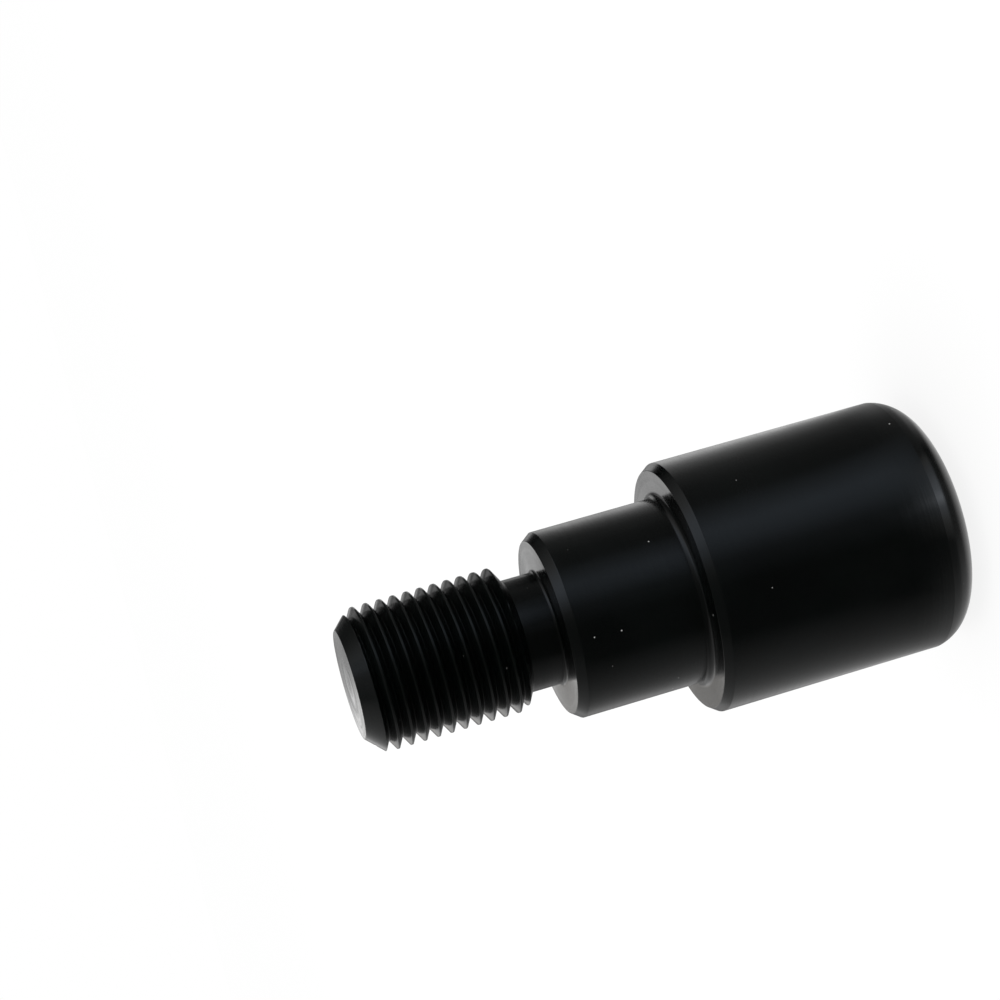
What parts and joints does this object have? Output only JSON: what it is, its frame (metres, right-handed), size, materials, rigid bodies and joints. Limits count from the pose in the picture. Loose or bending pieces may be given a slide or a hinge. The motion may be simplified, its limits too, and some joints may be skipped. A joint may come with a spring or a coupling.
{
  "type": "bar end weight",
  "caption": "Turned black bar end weight with a rounded head, plain neck, thread relief, threaded stud and a hexagon key socket in the crown.",
  "frame": {"origin": "on the axis, in the plane of the socket rim that the part stands on", "axes": "+Z along the axis from the rounded head to the threaded stud; +X through a corner of the hexagon"},
  "size_m": [0.028, 0.028, 0.0676],
  "materials": {
    "black_anodised": "satin black anodised, turned"
  },
  "bodies": {
    "root": {"bar_end_weight": "black_anodised"}
  },
  "joints": []
}
